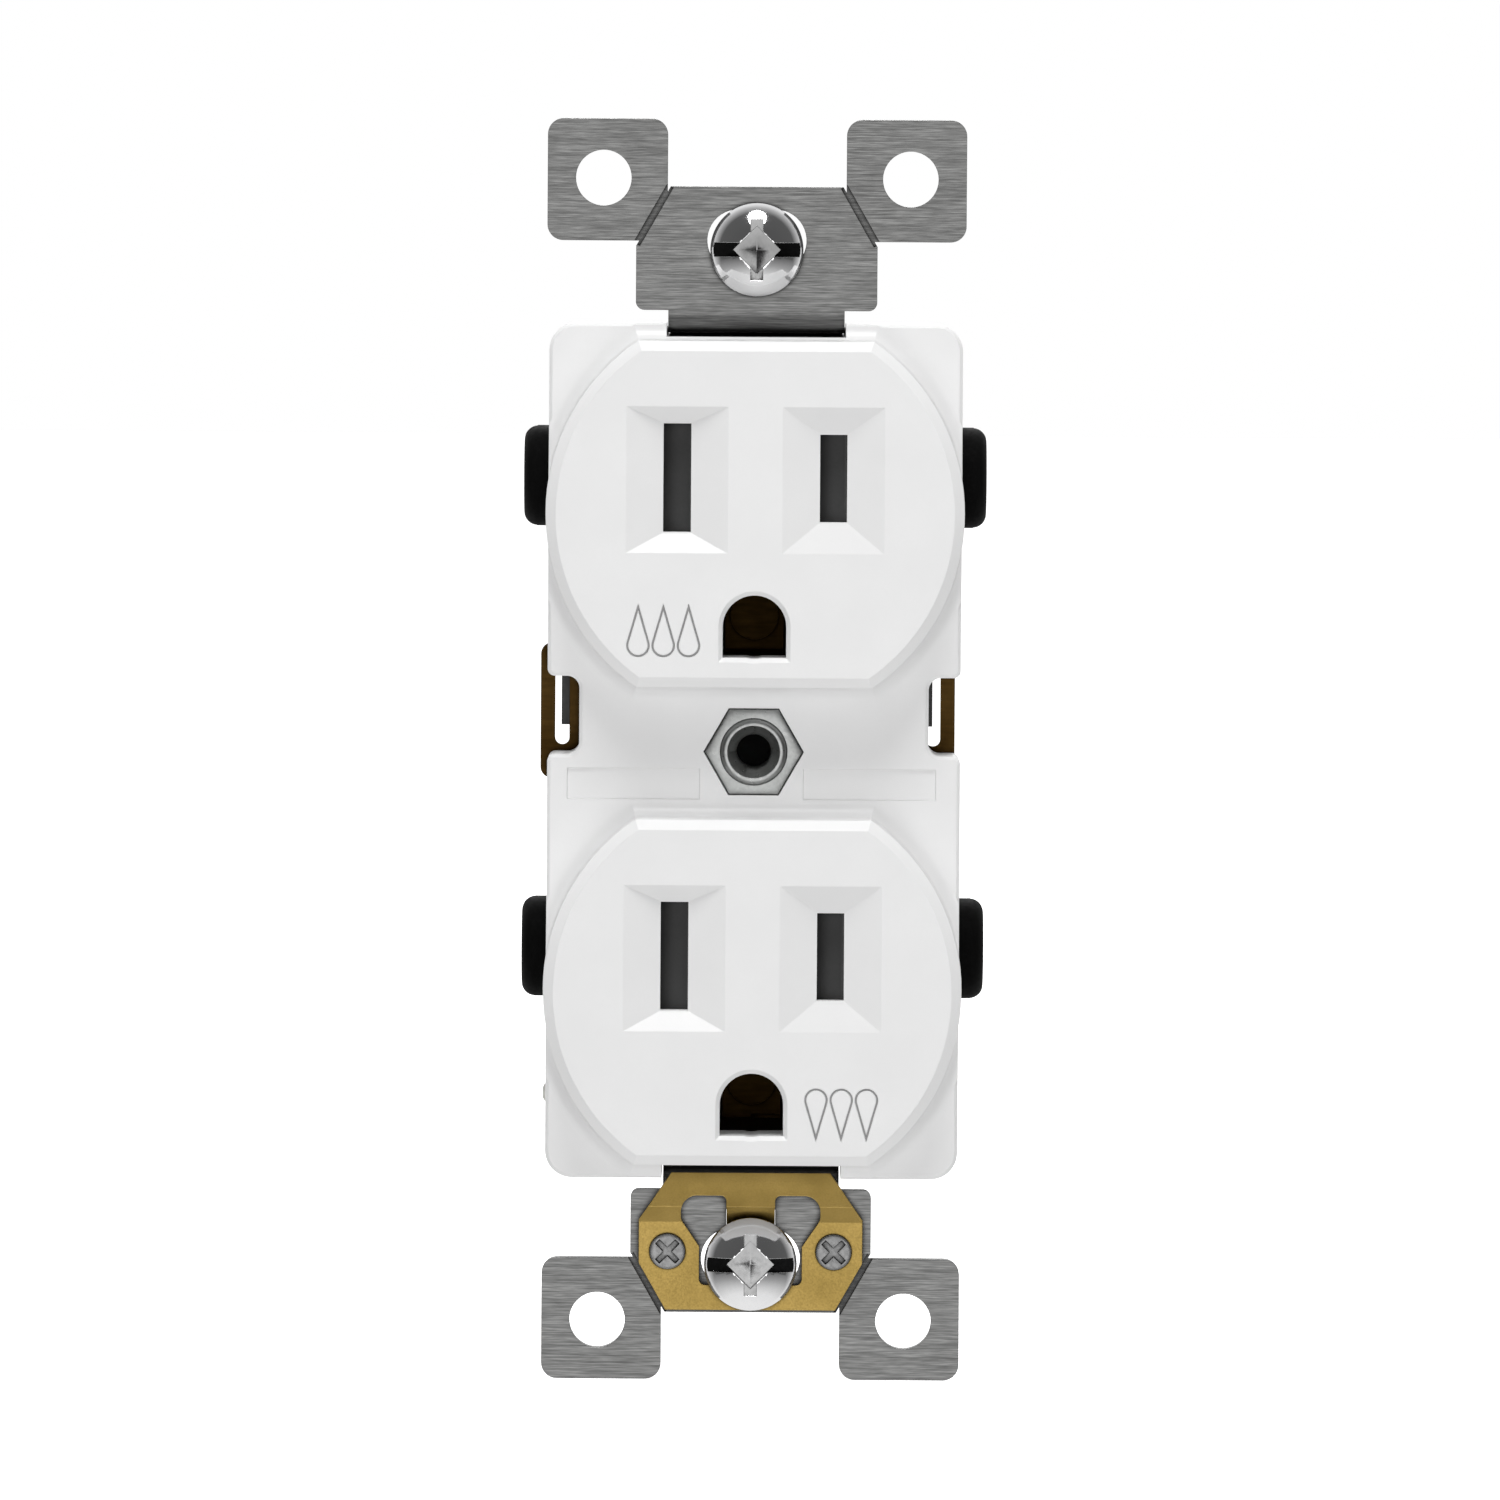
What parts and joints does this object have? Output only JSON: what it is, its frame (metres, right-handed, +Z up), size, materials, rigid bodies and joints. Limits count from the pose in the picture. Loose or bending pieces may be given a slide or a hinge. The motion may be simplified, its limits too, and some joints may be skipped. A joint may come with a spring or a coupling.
{
  "type": "duplex wall outlet",
  "caption": "Duplex wall outlet with grounded, shuttered blade sockets, side clamp terminals, a wrap-around steel strap with wing ears and a brass grounding clip.",
  "frame": {"origin": "on the axis of the centre bushing, in the plane of the strap ears' rear faces, which is the wall or box plane; also the centre of the four ear holes", "axes": "+X to the right seen from the front, -Y out of the face, +Y into the wall, +Z up, with the ground openings low"},
  "size_m": [0.0382, 0.0333, 0.1032],
  "materials": {
    "cover_white": "satin white thermoplastic, slightly glossy on the bevels",
    "body_grey": "matt dark grey moulded plastic",
    "strap_steel": "stainless sheet brushed across its width",
    "clip_brass": "rolled brass sheet, satin",
    "contact_brass": "rolled brass sheet, slightly tarnished",
    "rivet_steel": "dull plated steel, staked",
    "bushing_zinc": "dull zinc-plated steel",
    "screw_chrome": "bright plated steel",
    "screw_black": "black oxide",
    "clamp_zinc": "zinc-plated steel",
    "ground_green": "green chromate",
    "shutter_grey": "matt grey acetal",
    "retainer_plastic": "matt off-white plastic",
    "spring_steel": "bright spring wire",
    "washer_plastic": "soft off-white plastic"
  },
  "bodies": {
    "housing": {"front_cover": "cover_white", "back_body": "body_grey", "mounting_strap": "strap_steel", "ground_clip": "clip_brass", "ground_clip_rivets": "rivet_steel", "rear_strap_rivets": "rivet_steel", "plate_screw_bushing": "bushing_zinc", "assembly_screws": "rivet_steel", "hot_contact_bus": "contact_brass", "neutral_contact_bus": "contact_brass", "ground_bus": "contact_brass", "ground_contact_upper": "contact_brass", "ground_contact_lower": "contact_brass", "ground_contact_rivets": "contact_brass", "shutter_retainer_upper": "retainer_plastic", "shutter_retainer_lower": "retainer_plastic", "shutter_spring_upper": "spring_steel", "shutter_spring_lower": "spring_steel"},
    "shutter_upper": {"shutter_upper": "shutter_grey"},
    "shutter_lower": {"shutter_lower": "shutter_grey"},
    "hot_upper_clamp": {"hot_upper_clamp": "clamp_zinc"},
    "hot_upper_screw": {"hot_upper_screw": "screw_black"},
    "hot_lower_clamp": {"hot_lower_clamp": "clamp_zinc"},
    "hot_lower_screw": {"hot_lower_screw": "screw_black"},
    "neutral_upper_clamp": {"neutral_upper_clamp": "clamp_zinc"},
    "neutral_upper_screw": {"neutral_upper_screw": "screw_black"},
    "neutral_lower_clamp": {"neutral_lower_clamp": "clamp_zinc"},
    "neutral_lower_screw": {"neutral_lower_screw": "screw_black"},
    "ground_terminal_clamp": {"ground_terminal_clamp": "clamp_zinc"},
    "ground_terminal_screw": {"ground_terminal_screw": "ground_green"},
    "retaining_washer_top": {"retaining_washer_top": "washer_plastic"},
    "mounting_screw_top": {"mounting_screw_top": "screw_chrome"},
    "retaining_washer_bottom": {"retaining_washer_bottom": "washer_plastic"},
    "mounting_screw_bottom": {"mounting_screw_bottom": "screw_chrome"}
  },
  "joints": [
    {"name": "shutter_upper_slide", "type": "slide", "parent": "housing", "child": "shutter_upper", "axis": [1, 0, 0], "range_m": [0, 0.003], "stiffness_N_per_m": 60, "springref_m": -0.002, "deforming": ["shutter_spring_upper"]},
    {"name": "shutter_lower_slide", "type": "slide", "parent": "housing", "child": "shutter_lower", "axis": [1, 0, 0], "range_m": [0, 0.003], "stiffness_N_per_m": 60, "springref_m": -0.002, "deforming": ["shutter_spring_lower"]},
    {"name": "hot_upper_clamp_slide", "type": "slide", "parent": "housing", "child": "hot_upper_clamp", "axis": [-1, 0, 0], "range_m": [0, 0.00229]},
    {"name": "hot_upper_screw_turn", "type": "hinge", "parent": "hot_upper_clamp", "child": "hot_upper_screw", "pos_m": [0.0175, 0.0105, 0.02215], "axis": [-1, 0, 0], "range_deg": [0, 1040]},
    {"name": "hot_lower_clamp_slide", "type": "slide", "parent": "housing", "child": "hot_lower_clamp", "axis": [-1, 0, 0], "range_m": [0, 0.00229]},
    {"name": "hot_lower_screw_turn", "type": "hinge", "parent": "hot_lower_clamp", "child": "hot_lower_screw", "pos_m": [0.0175, 0.0105, -0.01675], "axis": [-1, 0, 0], "range_deg": [0, 1040]},
    {"name": "neutral_upper_clamp_slide", "type": "slide", "parent": "housing", "child": "neutral_upper_clamp", "axis": [1, 0, 0], "range_m": [0, 0.00229]},
    {"name": "neutral_upper_screw_turn", "type": "hinge", "parent": "neutral_upper_clamp", "child": "neutral_upper_screw", "pos_m": [-0.0175, 0.0105, 0.02215], "axis": [1, 0, 0], "range_deg": [0, 1040]},
    {"name": "neutral_lower_clamp_slide", "type": "slide", "parent": "housing", "child": "neutral_lower_clamp", "axis": [1, 0, 0], "range_m": [0, 0.00229]},
    {"name": "neutral_lower_screw_turn", "type": "hinge", "parent": "neutral_lower_clamp", "child": "neutral_lower_screw", "pos_m": [-0.0175, 0.0105, -0.01675], "axis": [1, 0, 0], "range_deg": [0, 1040]},
    {"name": "ground_terminal_clamp_slide", "type": "slide", "parent": "housing", "child": "ground_terminal_clamp", "axis": [1, 0, 0], "range_m": [0, 0.00209]},
    {"name": "ground_terminal_screw_turn", "type": "hinge", "parent": "ground_terminal_clamp", "child": "ground_terminal_screw", "pos_m": [-0.0155, 0.0105, -0.02858], "axis": [1, 0, 0], "range_deg": [0, 949]},
    {"name": "retaining_washer_top_slide", "type": "slide", "parent": "housing", "child": "retaining_washer_top", "axis": [1, 0, 0], "range_m": [-0.0015, 0.0015]},
    {"name": "mounting_screw_top_spin", "type": "hinge", "parent": "retaining_washer_top", "child": "mounting_screw_top", "pos_m": [0, 0, 0.04092], "axis": [0, 1, 0], "continuous": true},
    {"name": "retaining_washer_bottom_slide", "type": "slide", "parent": "housing", "child": "retaining_washer_bottom", "axis": [1, 0, 0], "range_m": [-0.0015, 0.0015]},
    {"name": "mounting_screw_bottom_spin", "type": "hinge", "parent": "retaining_washer_bottom", "child": "mounting_screw_bottom", "pos_m": [0, 0, -0.042], "axis": [0, 1, 0], "continuous": true}
  ],
  "couplings": [
    {"joint": "hot_upper_screw_turn", "follows": "hot_upper_clamp_slide", "rad_per_m": 7915.8},
    {"joint": "hot_lower_screw_turn", "follows": "hot_lower_clamp_slide", "rad_per_m": 7915.8},
    {"joint": "neutral_upper_screw_turn", "follows": "neutral_upper_clamp_slide", "rad_per_m": 7915.8},
    {"joint": "neutral_lower_screw_turn", "follows": "neutral_lower_clamp_slide", "rad_per_m": 7915.8},
    {"joint": "ground_terminal_screw_turn", "follows": "ground_terminal_clamp_slide", "rad_per_m": 7915.8}
  ]
}
